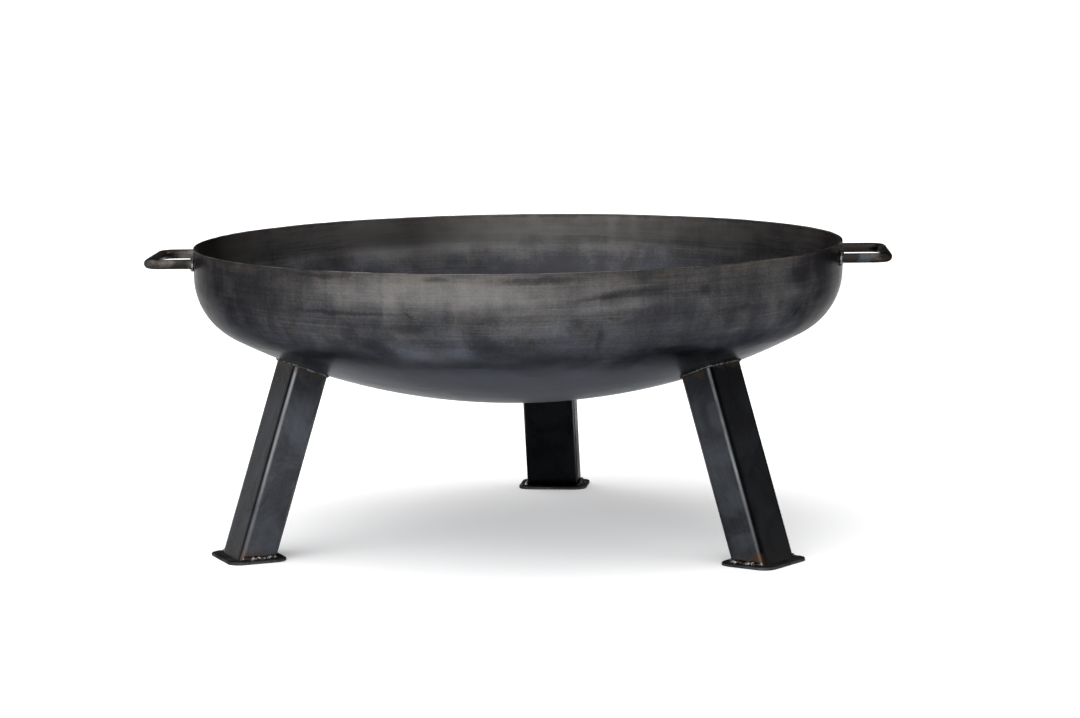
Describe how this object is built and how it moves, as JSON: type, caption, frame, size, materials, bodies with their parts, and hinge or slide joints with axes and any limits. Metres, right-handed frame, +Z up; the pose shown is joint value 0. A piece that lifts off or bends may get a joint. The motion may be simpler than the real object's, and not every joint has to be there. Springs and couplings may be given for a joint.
{
  "type": "fire pit with grate",
  "caption": "Round dished steel fire bowl with bent-bar side handles on splayed box-section legs, holding a lift-out bar grate above an ash space.",
  "frame": {"origin": "on the ground, below the centre of the bowl", "axes": "+Z up; +X along the line through the two handles, towards the right one; one leg is at the back, near +Y"},
  "size_m": [0.8008, 0.7, 0.321],
  "materials": {
    "bowl_steel": "bare steel with dark mill scale, clear oiled, fine horizontal brush marks",
    "leg_steel": "dark blue-grey mill scale, brown heat tint by the welds",
    "foot_steel": "dark steel with bright cut edges",
    "handle_steel": "dark drawn round bar",
    "weld_metal": "rough bright weld bead",
    "grate_steel": "dark scaled round bar"
  },
  "bodies": {
    "fire_bowl": {"bowl": "bowl_steel", "leg_tube_left": "leg_steel", "foot_plate_left": "foot_steel", "leg_weld_left": "weld_metal", "foot_weld_left_a": "weld_metal", "foot_weld_left_b": "weld_metal", "leg_tube_right": "leg_steel", "foot_plate_right": "foot_steel", "leg_weld_right": "weld_metal", "foot_weld_right_a": "weld_metal", "foot_weld_right_b": "weld_metal", "leg_tube_back": "leg_steel", "foot_plate_back": "foot_steel", "leg_weld_back": "weld_metal", "foot_weld_back_a": "weld_metal", "foot_weld_back_b": "weld_metal", "handle_left": "handle_steel", "handle_weld_left_front": "weld_metal", "handle_weld_left_back": "weld_metal", "handle_right": "handle_steel", "handle_weld_right_front": "weld_metal", "handle_weld_right_back": "weld_metal"},
    "grate": {"grate_ring": "grate_steel", "grate_bar_01": "grate_steel", "grate_bar_02": "grate_steel", "grate_bar_03": "grate_steel", "grate_bar_04": "grate_steel", "grate_bar_05": "grate_steel", "grate_bar_06": "grate_steel", "grate_bar_07": "grate_steel", "grate_bar_08": "grate_steel", "grate_bar_09": "grate_steel", "grate_bar_10": "grate_steel", "grate_bar_11": "grate_steel", "grate_bar_12": "grate_steel", "grate_bar_13": "grate_steel", "grate_cross_bar_front": "grate_steel", "grate_cross_bar_back": "grate_steel", "grate_loop_left": "grate_steel", "grate_loop_right": "grate_steel"}
  },
  "joints": [
    {"name": "grate_lift", "type": "slide", "parent": "fire_bowl", "child": "grate", "axis": [0, 0, 1], "range_m": [0, 0.25]}
  ]
}
